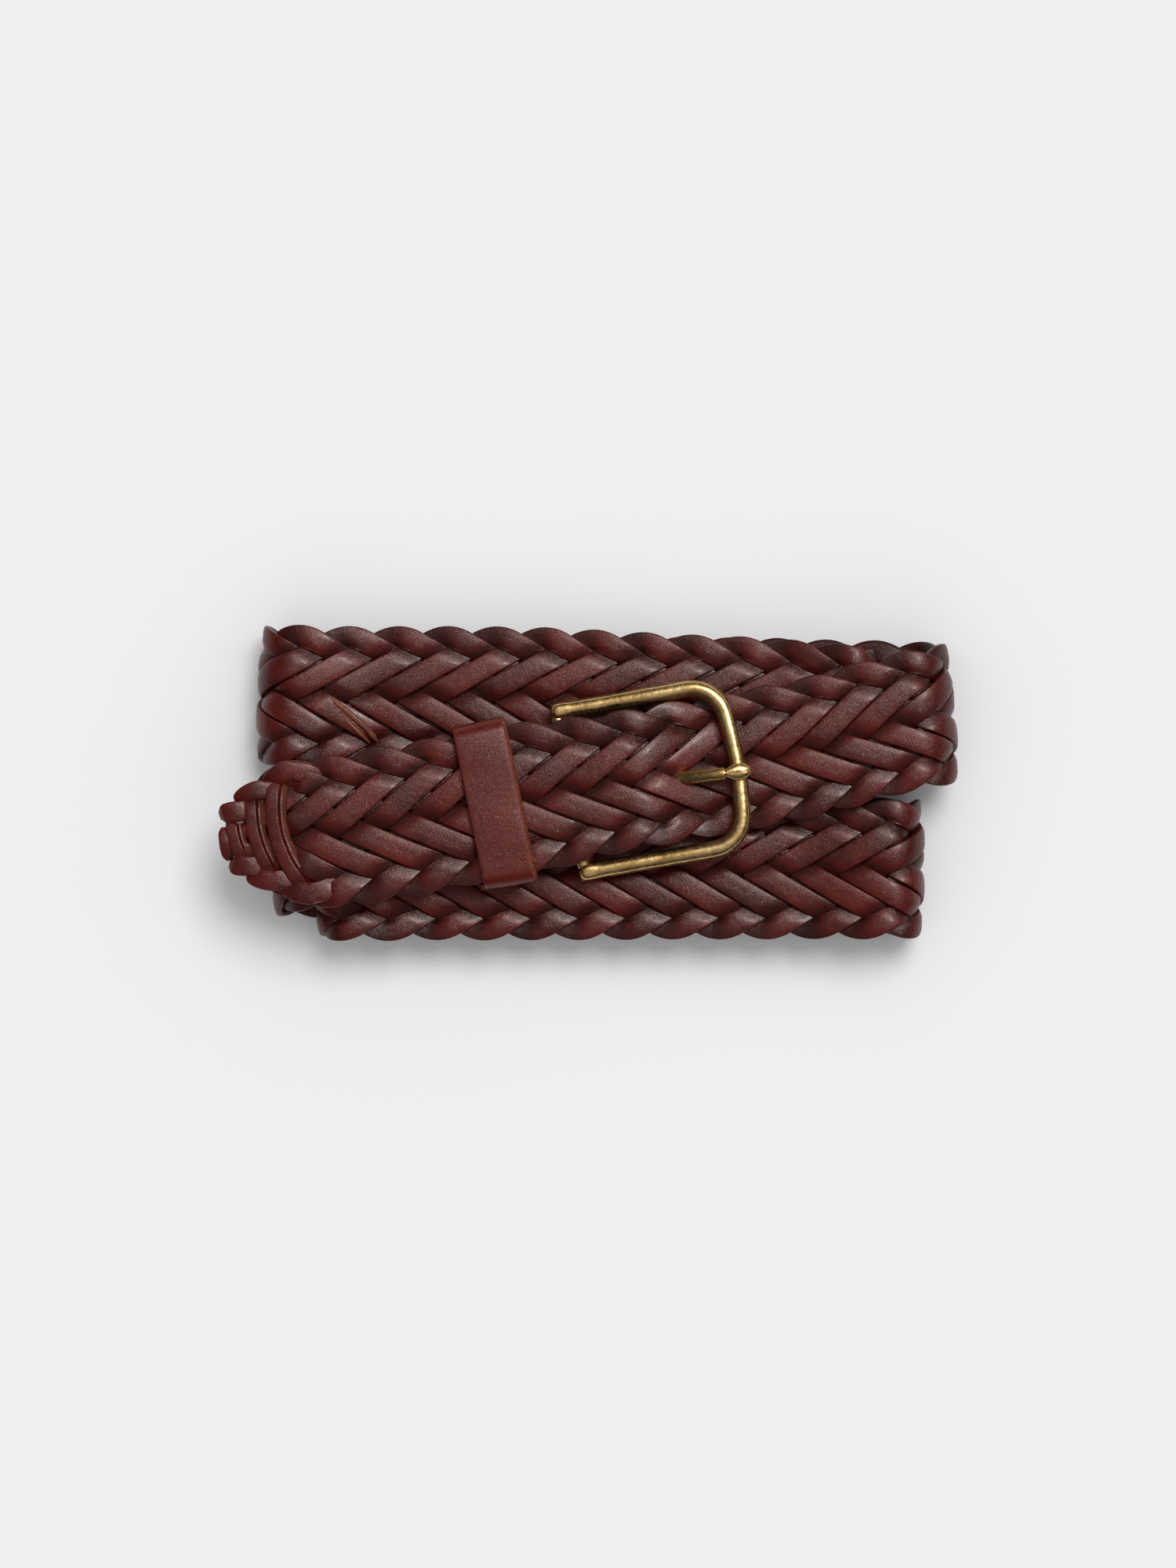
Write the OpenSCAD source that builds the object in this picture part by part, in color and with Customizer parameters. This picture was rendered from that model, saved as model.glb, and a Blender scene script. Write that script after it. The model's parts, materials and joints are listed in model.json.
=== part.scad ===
// Plaited leather belt, buckled and coiled flat: nine interlaced strands, leather chape,
// chape stitching, leather keeper, horseshoe buckle frame, hinge bar and prong.
// X along the coil, Y across it, Z up. The coil lies on Z = 0.

/* [Strap] */
// width of the plaited strap
strap_w = 35; // [34:0.2:35.4]
// width of the flattened tail, left of the buckle
tail_w = 37.6; // [36:0.2:37.8]
// width of one leather strand
strand_w = 5.7; // [5:0.1:6]
// thickness of one leather strand
strand_t = 1.45; // [1.2:0.05:1.5]
// distance between scallops along the strap's edge
pitch = 12.31; // [12:0.01:12.6]

/* [Chape and keeper] */
// length of the leather chape from the hinge bar
chape_l = 44; // [38:1:48]
// thickness of the chape leather
chape_t = 1.2; // [1:0.05:1.3]
// width of the chape
chape_w = 35.2; // [30:0.2:35.6]
// width of the keeper along the strap
keeper_w = 13.3; // [10:0.1:15]
// thickness of the keeper leather
keeper_t = 1.5; // [1.2:0.05:1.5]
// distance from the hinge bar to the keeper's middle
keeper_x = 19.4; // [18:0.1:22]

/* [Buckle] */
// diameter of the buckle frame's rod
rod_d = 4.3; // [3.8:0.1:4.4]
// half the distance between the middles of the two arms
arm_y = 20.3; // [20.2:0.05:20.6]
// distance from the hinge bar to the middle of the front bar
reach = 42.1; // [41:0.1:43]
// radius of the buckle's corners along the rod's middle
corner_r = 8.5; // [7:0.5:9]
// diameter of the hinge bar
pin_d = 3.6; // [3.2:0.1:3.8]
// thickness of the prong
prong_d = 3; // [2.6:0.1:3]

/* [Hidden] */
$fn = 48;
leather = [0.30, 0.10, 0.08];
leather_dark = [0.24, 0.08, 0.07];
thread = [0.16, 0.06, 0.05];
brass = [0.72, 0.58, 0.33];

// moves the coil's box to the middle of the frame
shift = [-0.765, 0.384, -0.1];

// --- how the strap is coiled ------------------------------------------------
// heading of each straight run, from the buckle to the tail's tip
head = [190, -1.8, 180.2, 14, 177.3, -1.3, 190];
// straight length of each run; the last one ends at the tip
run = [66.2, 144.8, 138.1, 134.8, 141.7, 155.1, 174.6];
// height of the strap's middle at the start and the end of each run
z_in = [20.2, 1.65, 16, 5.3, 16, 1.65, 19.6];
z_out = [19.7, 1.65, 16, 5.3, 16, 1.65, 24.2];
hinge = [-4.4, -2.65, 20.2];
lie = 10;
tail_z = 25.7;
tail_low = 19.3;
sag = 2.8;
tail_side = -2.35;
// how far the upper row bows towards +Y
row_bow = 2.9;

function dir(a) = [cos(a), sin(a)];
function unit2(p) = p / norm(p);
function soft(x) = let (c = min(1, max(0, x))) c * c * (3 - 2 * c);
function mix(a, b, f) = a + (b - a) * f;

fold_r = [for (k = [0:5]) abs(z_out[k] - z_in[k + 1]) / 2];
fold_a = [for (k = [0:5]) unit2(dir(head[k]) + dir(head[k + 1]))];
fold_e = [for (k = [0:5])
    let (e = [fold_a[k][1], -fold_a[k][0]])
    e * dir(head[k]) > 0 ? e : -e];
fold_l = [for (k = [0:5]) PI * fold_r[k] / (fold_e[k] * dir(head[k]))];

// start point and start length of each run
function start(k) = k == 0 ? [hinge[0], hinge[1], 0] :
    let (p = start(k - 1))
    let (q = [p[0], p[1]] + run[k - 1] * dir(head[k - 1]))
    let (m = q + (dir(head[k - 1]) * fold_a[k - 1]) * fold_l[k - 1] * fold_a[k - 1])
    [m[0], m[1], p[2] + run[k - 1] + fold_l[k - 1]];
st = [for (k = [0:6]) start(k)];
fold_c = [for (k = [0:5]) [st[k][0], st[k][1]] + run[k] * dir(head[k])];
fold_s = [for (k = [0:5]) st[k][2] + run[k]];
strap_l = st[6][2] + run[6];
side = [for (k = [0:6]) (k % 2 == 0 ? -1 : 1)];
across = [for (k = [0:6]) side[k] * [-sin(head[k]), cos(head[k])]];

// distance of a point of the tail from the hinge bar, along the tail
tail_t0 = ([st[6][0], st[6][1]] - [hinge[0], hinge[1]]) * dir(lie);
function tail_t(s) = tail_t0 - (s - st[6][2]);

// height of the strap's middle along a run
function run_z(k, s) =
    k == 0 ? mix(z_in[0], z_out[0], soft((s - 52) / 12)) :
    k == 2 || k == 4 ? z_in[k] - sag * soft((s - st[k][2]) / 24) *
        soft((st[k][2] + run[k] - s) / 24) :
    k == 6 ? let (t = tail_t(s))
        mix(z_in[6], tail_low, soft((80 - t) / 30)) +
        (tail_z - tail_low) * soft((39 - t) / 24) - 1.5 * soft((-t - 58) / 32) :
    z_in[k];

// sideways shift of the upper row and of the tail
function side_shift(s) = s < st[6][2] ?
    row_bow * soft((s - fold_s[3] + 45) / 100) * soft((fold_s[4] + 20 - s) / 90) :
    tail_side * soft((s - st[6][2]) / 32) + 3 * soft((s - strap_l + 30) / 30);

// the opening the prong passes through
hole_t = 27.5;
hole_v = -1.8;
hole_a = 9.6;
hole_b = 5.1;
function opened(s, v) = s < st[6][2] ? [s, v] :
    let (x = (tail_t(s) - hole_t) / hole_a, y = (v - hole_v) / hole_b)
    let (q = max(0.02, sqrt(x * x + y * y)))
    let (g = sqrt(q * q + pow(max(0, 1 - q / 3.2), 1.2)) / q)
    [s - (g - 1) * x * hole_a, v + (g - 1) * y * hole_b];

// a point of the strap: s along it, v across it, h out from its middle
function flat_pt(k, s, v) = [st[k][0], st[k][1]] + (s - st[k][2]) * dir(head[k]) + v * across[k];
function which(s) = max([for (k = [0:5]) (k == 0 || s > (st[k][2] + fold_s[k]) / 2) ? k : 0]);
function place(s, v, h) =
    let (k = which(s))
    let (p = flat_pt(k, s, v) - fold_c[k])
    let (e = fold_e[k], a = fold_a[k], r = fold_r[k])
    let (q = p * e, u = p * a)
    let (up = side[k] < 0 ? 1 : -1)
    q <= 0 ? concat(fold_c[k] + p, [run_z(k, s) + up * h]) :
    q < PI * r ? let (f = q / r * 180 / PI)
        concat(fold_c[k] + u * a + (r + h) * sin(f) * e,
               [(z_out[k] + z_in[k + 1]) / 2 + up * (r + h) * cos(f)]) :
    concat(fold_c[k] + u * a - (q - PI * r) * e, [run_z(k + 1, s) - up * h]);

// --- the plait ----------------------------------------------------------------
step = pitch / 2;
phase = -0.65;
tip_l = 26;
half_round = 0.76;
lay = [0, -1, 1, 1, 1, -1, -1, -1, 1, 0];

// width of the strap along its length
function strap_width(s) = s < st[6][2] ? strap_w :
    let (t = tail_t(s))
    (mix(strap_w, tail_w, soft((12 - t) / 26))) *
    (1 - 0.52 * pow(max(0, (s - strap_l + tip_l) / tip_l), 2.2));
// how far the plait is pulled along the strap, from its even spacing
function pull(s) = -4.4 * soft((s - st[2][2]) / run[2]) + 8.2 * soft((s - fold_s[2]) / 150) -
    2.4 * soft((s - fold_s[4]) / 150) - 1.6 * soft((s - st[6][2]) / 70);
// strap length at a count of half scallops; the last ones close up towards the tip
function len_at(u) =
    let (even = (u - phase) * step, s = even + pull(even), s1 = strap_l - tip_l)
    s <= s1 ? s : s1 + tip_l * (1 - exp(-(s - s1) / tip_l));
function zig(u) =
    let (m = u - 18 * floor(u / 18))
    let (d = m > 9 ? 18 - m : m)
    let (x = d < half_round ? (d * d + half_round * half_round) / (2 * half_round) :
        d > 9 - half_round ?
        9 - ((9 - d) * (9 - d) + half_round * half_round) / (2 * half_round) : d)
    (1 - 2 * x / 9) / (1 - half_round / 9);
function over(u) =
    let (m = u - 9 * floor(u / 9))
    let (i = floor(m))
    mix(lay[i], lay[min(9, i + 1)], m - i);
layer = strand_t / 2 + 0.1;

// middle line of a strand in strap lengths; w is the strand's own count
function mid(w, k) =
    let (u = w - 2 * k)
    let (s = len_at(w))
    opened(s, zig(u) * (strap_width(s) - strand_w) / 2);
function ring(w, k) =
    let (p = mid(w, k), a = mid(w - 0.3, k), b = mid(w + 0.3, k))
    let (d = unit2(b - a))
    let (n = [-d[1], d[0]] * strand_w / 2, h = over(w - 2 * k) * layer)
    let (q = strand_t / 2, v = p[1] + side_shift(p[0]))
    [place(p[0] - n[0], v - n[1], h - q), place(p[0] + n[0], v + n[1], h - q),
     place(p[0] + n[0], v + n[1], h + q), place(p[0] - n[0], v - n[1], h + q)];

first_u = phase + 6 / step;
last_u = phase + (strap_l - tip_l + 1.9 * tip_l) / step;
function in_fold(s) = max([for (k = [0:5]) s > fold_s[k] - 4 && s < fold_s[k] + fold_l[k] + 4 ? 1 : 0]);
function needed(w, k) =
    let (m = (w - 2 * k) - 9 * floor((w - 2 * k) / 9))
    let (s = len_at(w))
    let (whole = abs(m - round(m)) < 0.01)
    let (near = in_fold(s) == 1 || (s > st[6][2] && abs(tail_t(s) - hole_t) < 15))
    whole ? (near || (m != 3 && m != 6)) : (near || m < 1 || m > 8);
function counts(k) = concat([first_u],
    [for (j = [ceil(first_u * 2 + 0.2) : floor(last_u * 2 - 0.2)]) if (needed(j / 2, k)) j / 2],
    [last_u]);

module strand(k) {
    w = counts(k);
    n = len(w);
    pts = [for (x = w) each ring(x, k)];
    sides = [for (i = [0:n - 2], j = [0:3])
        each [[4 * i + j, 4 * i + (j + 1) % 4, 4 * i + 4 + j],
              [4 * i + (j + 1) % 4, 4 * i + 4 + (j + 1) % 4, 4 * i + 4 + j]]];
    caps = [[2, 1, 0], [3, 2, 0], [4 * n - 4, 4 * n - 3, 4 * n - 2], [4 * n - 4, 4 * n - 2, 4 * n - 1]];
    polyhedron(points = pts, faces = concat(sides, caps));
}
module strand_n(k) {
    color(k % 2 == 0 ? leather : leather_dark) translate(shift) strand(k);
}

// --- parts around the hinge -----------------------------------------------------
// local frame: origin on the hinge bar, X towards the front bar, Z up
module at_hinge(pitch_up = 0) {
    translate(shift + hinge) rotate([0, 0, lie]) rotate([0, -pitch_up, 0]) children();
}
braid_h = layer + strand_t / 2;
gap_in = braid_h + 0.03;
bend_in = pin_d / 2 + 0.06;

leaf_out = bend_in + chape_t;

module leaf(z) {
    // thicker where it lies on the plait, thinner beside the hinge bar
    translate([-chape_l, -chape_w / 2, min(z * gap_in, z * leaf_out)])
        cube([chape_l - 4, chape_w, leaf_out - gap_in]);
    translate([-4.5, -chape_w / 2, min(z * bend_in, z * leaf_out)])
        cube([4.5, chape_w, chape_t]);
}
module chape() {
    color(leather_dark) at_hinge()
        difference() {
            union() {
                leaf(1);
                leaf(-1);
                // bend round the hinge bar
                intersection() {
                    difference() {
                        rotate([90, 0, 0]) cylinder(r = leaf_out, h = chape_w, center = true);
                        rotate([90, 0, 0]) cylinder(r = bend_in, h = chape_w + 2, center = true);
                    }
                    translate([-0.01, -chape_w, -9]) cube([9, 2 * chape_w, 18]);
                }
            }
            // slot for the prong's loop and its root
            translate([-7, -3, -6]) cube([14, 6, 12]);
            translate([-7, 0, -6]) cylinder(r = 3, h = 12);
        }
}

stitch_l = 2.6;
stitch_d = 0.5;
stitch_z = leaf_out;
module stitch(x, y, z) {
    translate([x - stitch_l / 2, y, z]) rotate([0, 90, 0]) cylinder(d = stitch_d, h = stitch_l, $fn = 16);
}
module chape_stitching() {
    color(thread) at_hinge()
        union() {
            for (y = [-14.6, 14.6], i = [0:9], z = [-1, 1])
                stitch(-5.6 - i * 3.9, y, z * (stitch_z + 0.05));
        }
}

// keeper: a closed band round the chape and the tail
keeper_in_y = tail_w / 2 + 0.5;
keeper_lo = -leaf_out - 0.5;
keeper_hi = tail_z - hinge[2] + braid_h + 0.35;
keeper_y = 0.4;
module slab(y, lo, hi, r) {
    translate([-y + r, lo]) square([2 * y - 2 * r, hi - lo]);
    translate([-y, lo + r]) square([2 * y, hi - lo - 2 * r]);
    for (a = [-y + r, y - r], b = [lo + r, hi - r]) translate([a, b]) circle(r = r);
}
module keeper() {
    color(leather) at_hinge()
        translate([-keeper_x - keeper_w / 2, keeper_y, 0]) rotate([90, 0, 90])
            linear_extrude(height = keeper_w)
                difference() {
                    slab(keeper_in_y + keeper_t, keeper_lo - keeper_t, keeper_hi + keeper_t, 3.2);
                    slab(keeper_in_y, keeper_lo, keeper_hi, 1.7);
                }
}

// --- buckle ----------------------------------------------------------------------
front_z = tail_low + braid_h + 0.45 + rod_d / 2 - hinge[2];
tilt = asin(front_z / reach);
bow = 7.1;
corner_y = arm_y - corner_r;
bow_r = (corner_y + corner_r * sin(bow)) / sin(bow);
corner_x = reach - bow_r * (1 - cos(bow)) - corner_r * cos(bow);

module half_frame() {
    // arm
    translate([-1.6, arm_y, 0]) rotate([0, 90, 0]) cylinder(d = rod_d, h = corner_x + 1.9);
    // corner
    translate([corner_x, corner_y, 0]) rotate([0, 0, bow])
        rotate_extrude(angle = 90 - bow) translate([corner_r, 0]) circle(d = rod_d + 0.04);
    // lug that holds the hinge bar
    translate([0, arm_y - rod_d / 2 - 0.1, 0]) rotate([-90, 0, 0]) cylinder(d = 5.4, h = rod_d + 0.2);
}
module buckle_frame() {
    color(brass) at_hinge(tilt)
        difference() {
            union() {
                half_frame();
                mirror([0, 1, 0]) half_frame();
                // front bar, slightly bowed outwards
                translate([reach - bow_r, 0, 0]) rotate([0, 0, -bow - 0.16])
                    rotate_extrude(angle = 2 * bow + 0.32) translate([bow_r, 0]) circle(d = rod_d);
            }
            rotate([90, 0, 0]) cylinder(d = pin_d, h = 2 * arm_y + 6, center = true);
        }
}
module hinge_bar() {
    color(brass) at_hinge(tilt)
        rotate([90, 0, 0]) cylinder(d = pin_d, h = 2 * arm_y + rod_d - 0.4, center = true);
}

// prong: a loop on the hinge bar and a cranked shank that rests on the front bar
prong_yaw = -3;
tip_z = front_z + rod_d / 2 + 0.22 + prong_d / 2;
prong_pts = [[2.6, 0, -0.1], [20.5, 0, -0.25], [34.5, 0, tip_z - 0.9], [38.2, 0, tip_z], [42, 0, tip_z]];
module rod(a, b, d) {
    v = b - a;
    l = norm(v);
    translate(a) rotate([0, acos(v[2] / l), atan2(v[1], v[0])]) cylinder(d = d, h = l, $fn = 32);
}
module prong() {
    color(brass) at_hinge()
        difference() {
            union() {
                rotate([90, 0, 0]) cylinder(d = pin_d + 3.2, h = 4.6, center = true);
                rotate([0, 0, prong_yaw]) {
                    for (i = [0:3]) rod(prong_pts[i], prong_pts[i + 1], prong_d);
                    for (i = [1:3]) translate(prong_pts[i]) sphere(d = prong_d + 0.1, $fn = 32);
                    // flattened tip
                    translate([42, 0, tip_z]) scale([1.5, 1, 0.62]) sphere(d = 4.3, $fn = 32);
                }
            }
            rotate([90, 0, 0]) cylinder(d = pin_d + 0.1, h = 6, center = true);
        }
}

module strand_1() { strand_n(0); }
module strand_2() { strand_n(1); }
module strand_3() { strand_n(2); }
module strand_4() { strand_n(3); }
module strand_5() { strand_n(4); }
module strand_6() { strand_n(5); }
module strand_7() { strand_n(6); }
module strand_8() { strand_n(7); }
module strand_9() { strand_n(8); }

strand_1();
strand_2();
strand_3();
strand_4();
strand_5();
strand_6();
strand_7();
strand_8();
strand_9();
chape();
chape_stitching();
keeper();
buckle_frame();
hinge_bar();
prong();
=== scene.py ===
import json
import math
import bpy
import numpy as np
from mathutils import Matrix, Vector


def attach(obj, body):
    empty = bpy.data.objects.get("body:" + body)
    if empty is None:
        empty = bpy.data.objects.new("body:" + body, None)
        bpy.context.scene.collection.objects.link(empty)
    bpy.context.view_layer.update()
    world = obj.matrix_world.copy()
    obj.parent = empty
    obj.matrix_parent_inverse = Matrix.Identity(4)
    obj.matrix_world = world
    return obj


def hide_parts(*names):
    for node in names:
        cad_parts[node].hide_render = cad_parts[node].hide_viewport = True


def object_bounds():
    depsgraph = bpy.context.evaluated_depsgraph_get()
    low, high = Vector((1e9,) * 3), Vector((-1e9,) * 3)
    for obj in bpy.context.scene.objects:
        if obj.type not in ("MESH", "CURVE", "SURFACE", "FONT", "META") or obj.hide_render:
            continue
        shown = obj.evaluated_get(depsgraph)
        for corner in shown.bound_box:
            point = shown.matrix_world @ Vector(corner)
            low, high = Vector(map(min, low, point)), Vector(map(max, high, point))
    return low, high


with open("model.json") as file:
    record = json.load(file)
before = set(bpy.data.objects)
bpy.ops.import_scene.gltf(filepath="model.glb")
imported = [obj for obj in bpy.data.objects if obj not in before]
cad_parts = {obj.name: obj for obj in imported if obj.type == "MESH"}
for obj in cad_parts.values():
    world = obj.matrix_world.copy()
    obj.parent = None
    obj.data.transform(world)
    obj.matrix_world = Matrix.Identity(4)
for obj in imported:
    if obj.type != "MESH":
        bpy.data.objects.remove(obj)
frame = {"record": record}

cad_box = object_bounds()
MM = 0.001


# ---------------------------------------------------------------- the coil's path, as in the CAD
# Lengths are in mm and directions in degrees. Seven straight runs are joined by six folds, and a
# place on the strap is (s along it, v across it, h out from the middle of its thickness).
def basis(deg):
    return np.array([math.cos(math.radians(deg)), math.sin(math.radians(deg))])


JOINTS = {j["name"]: j for j in frame["record"]["behaviour"]["joints"]}
HINGE = np.array(JOINTS["buckle_hinge"]["pos_m"]) * 1000.0      # on the hinge bar's axis
LIE = 10.0                                         # direction of the buckle and the chape
START_X, START_Y, BAR_Z = -4.4, -2.65, 20.2        # the path starts on the hinge bar
SHIFT = HINGE - np.array([START_X, START_Y, BAR_Z])
FOLDS = 6
HEAD = [190, -1.8, 180.2, 14, 177.3, -1.3, 190]    # direction of each run
RUN = [66.2, 144.8, 138.1, 134.8, 141.7, 155.1, 174.6]
Z_IN = [BAR_Z, 1.65, 16, 5.3, 16, 1.65, 19.6]      # height of each run at its start
Z_OUT = [19.7, 1.65, 16, 5.3, 16, 1.65, 24.2]      # height of each run at its end
SAG = 2.8                                          # of the third and fifth runs
BOW = 2.9                                          # sideways, of the fifth run
TAIL_LOW, TAIL_Z, TIP_DROOP = 19.3, 25.7, 1.5      # heights before the buckle and on the chape
TAIL_SIDE, TIP_SIDE = -2.35, 3                     # sideways shift of the tail and of its tip
STRAP_W, TAIL_W, STRAND_W, STRAND_T = 35.0, 37.6, 5.7, 1.45
PITCH = 12.31                                      # from one strand to the next, along an edge
STEP = PITCH / 2
PHASE = -0.65                                      # where the weave starts, in steps
ROUND = 0.76                                       # half a strand's turn at an edge, in steps
LAYER = STRAND_T / 2 + 0.1                         # height of the plait's two layers
# over (1), between (0) or under (-1) at each of the nine steps from edge to edge
LAY = np.array([0, -1, 1, 1, 1, -1, -1, -1, 1, 0], float)

D = [basis(a) for a in HEAD]
FR = [abs(Z_OUT[k] - Z_IN[k + 1]) / 2 for k in range(FOLDS)]
FA, FE, FL = [], [], []                            # each fold's axis, way out and length
for k in range(FOLDS):
    a = D[k] + D[k + 1]
    a = a / np.linalg.norm(a)
    e = np.array([a[1], -a[0]])
    e = e if e @ D[k] > 0 else -e
    FA.append(a)
    FE.append(e)
    FL.append(math.pi * FR[k] / (e @ D[k]))
ST = [np.array([START_X, START_Y, 0.0])]           # each run's start: x, y and strap length
for k in range(FOLDS):
    q = ST[k][:2] + RUN[k] * D[k]
    m = q + (D[k] @ FA[k]) * FL[k] * FA[k]
    ST.append(np.array([m[0], m[1], ST[k][2] + RUN[k] + FL[k]]))
FC = [ST[k][:2] + RUN[k] * D[k] for k in range(FOLDS)]
FS = [ST[k][2] + RUN[k] for k in range(FOLDS)]
S_TAIL = ST[FOLDS][2]
STRAP_L = S_TAIL + RUN[FOLDS]
FACE_UP = [k % 2 == 0 for k in range(FOLDS + 1)]   # the strap turns over at every fold
ACROSS = [(-1 if FACE_UP[k] else 1) * np.array([-D[k][1], D[k][0]]) for k in range(FOLDS + 1)]
TAIL_T0 = (ST[FOLDS][:2] - ST[0][:2]) @ basis(LIE)


def soft(x):
    c = np.clip(x, 0, 1)
    return c * c * (3 - 2 * c)


def mix(a, b, f):
    return a + (b - a) * f


def tail_t(s):
    """How far a place on the tail is in front of the hinge bar."""
    return TAIL_T0 - (s - S_TAIL)


def run_z(k, s):
    """Height of a run's middle."""
    if k == 0:
        return mix(Z_IN[0], Z_OUT[0], soft((s - 52) / 12))
    if k in (2, 4):
        return Z_IN[k] - SAG * soft((s - ST[k][2]) / 24) * soft((ST[k][2] + RUN[k] - s) / 24)
    if k == FOLDS:
        t = tail_t(s)
        return (mix(Z_IN[k], TAIL_LOW, soft((80 - t) / 30))
                + (TAIL_Z - TAIL_LOW) * soft((39 - t) / 24) - TIP_DROOP * soft((-t - 58) / 32))
    return np.full_like(s, Z_IN[k])


def side_shift(s):
    """How far the strap is off its straight path, sideways."""
    bow = BOW * soft((s - FS[3] + 45) / 100) * soft((FS[4] + 20 - s) / 90)
    tail = TAIL_SIDE * soft((s - S_TAIL) / 32) + TIP_SIDE * soft((s - STRAP_L + 30) / 30)
    return np.where(s < S_TAIL, bow, tail)


def place(s, v, h):
    """Strap places to the row frame, in mm."""
    s, v, h = np.broadcast_arrays(np.asarray(s, float), v, h)
    out = np.zeros(s.shape + (3,))
    which = np.zeros(s.shape, int)
    for k in range(1, FOLDS):
        which = np.where(s > (ST[k][2] + FS[k]) / 2, k, which)
    for k in range(FOLDS):
        on = which == k
        if not on.any():
            continue
        S, V, H = s[on], v[on], h[on]
        p = ST[k][:2] + (S - ST[k][2])[:, None] * D[k] + V[:, None] * ACROSS[k] - FC[k]
        r, e, a = FR[k], FE[k], FA[k]
        q, u = p @ e, p @ a
        up = 1.0 if FACE_UP[k] else -1.0
        f = np.clip(q / r, 0, math.pi)
        zc = (Z_OUT[k] + Z_IN[k + 1]) / 2
        bend = FC[k] + u[:, None] * a + ((r + H) * np.sin(f))[:, None] * e
        bend_z = zc + up * (r + H) * np.cos(f)
        back = FC[k] + u[:, None] * a - (q - math.pi * r)[:, None] * e
        before, within = q <= 0, q < math.pi * r
        xy = np.where(before[:, None], FC[k] + p, np.where(within[:, None], bend, back))
        z = np.where(before, run_z(k, S) + up * H,
                     np.where(within, bend_z, run_z(k + 1, S) - up * H))
        out[on] = np.column_stack([xy, z])
    return out + SHIFT


# ---------------------------------------------------------------- mesh helpers
def new_mesh(name, verts, faces, material, attrs):
    """A smooth mesh from points in mm; attrs: {name: one number for each point}."""
    me = bpy.data.meshes.new(name)
    me.from_pydata((np.asarray(verts) * MM).tolist(), [], faces)
    me.validate()
    me.update()
    for key, values in attrs.items():
        at = me.attributes.new(key, "FLOAT", "POINT")
        at.data.foreach_set("value", np.asarray(values, dtype=np.float32).ravel())
    me.polygons.foreach_set("use_smooth", [True] * len(me.polygons))
    ob = bpy.data.objects.new(name, me)
    bpy.context.scene.collection.objects.link(ob)
    me.materials.append(material)
    return ob


def loft(rings, closed_path=False):
    """Faces between closed sections, rings (n, m, 3), capped unless the path is closed."""
    n, m = rings.shape[:2]
    faces = []
    for i in range(n if closed_path else n - 1):
        a, b = i * m, ((i + 1) % n) * m
        for j in range(m):
            k = (j + 1) % m
            faces.append((a + j, a + k, b + k, b + j))
    if not closed_path:
        faces.append(tuple(range(m - 1, -1, -1)))
        faces.append(tuple(range((n - 1) * m, n * m)))
    return rings.reshape(-1, 3), faces


def moved(faces, offset):
    return [tuple(a + offset for a in face) for face in faces]


def circle(n):
    return np.arange(n) / n * 2 * math.pi


def unit(x, y):
    length = np.hypot(x, y)
    return x / length, y / length


def wave(x, seed, scale):
    """Smooth repeatable variation between about -1 and 1, from four sines."""
    r = np.random.default_rng(seed)
    total = np.zeros_like(np.asarray(x, float))
    for i in range(4):
        turns = x / scale * (0.6 + 1.1 * r.random())
        total += np.sin(turns * 2 * math.pi + 6.283 * r.random()) * (0.4 + 0.6 * r.random())
    return total / 2.2


def through(points, per=7):
    """Smooth curve through a few points."""
    P = np.asarray(points, float)
    P = np.vstack([2 * P[0] - P[1], P, 2 * P[-1] - P[-2]])
    out = []
    for i in range(1, len(P) - 2):
        for t in np.arange(per) / per:
            out.append(0.5 * (2 * P[i] + (P[i + 1] - P[i - 1]) * t
                              + (2 * P[i - 1] - 5 * P[i] + 4 * P[i + 1] - P[i + 2]) * t ** 2
                              + (3 * P[i] - P[i - 1] - 3 * P[i + 1] + P[i + 2]) * t ** 3))
    return np.array(out + [P[-2]])


def finish_piece(ob, node, body):
    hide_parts(node)
    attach(ob, body)


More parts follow.
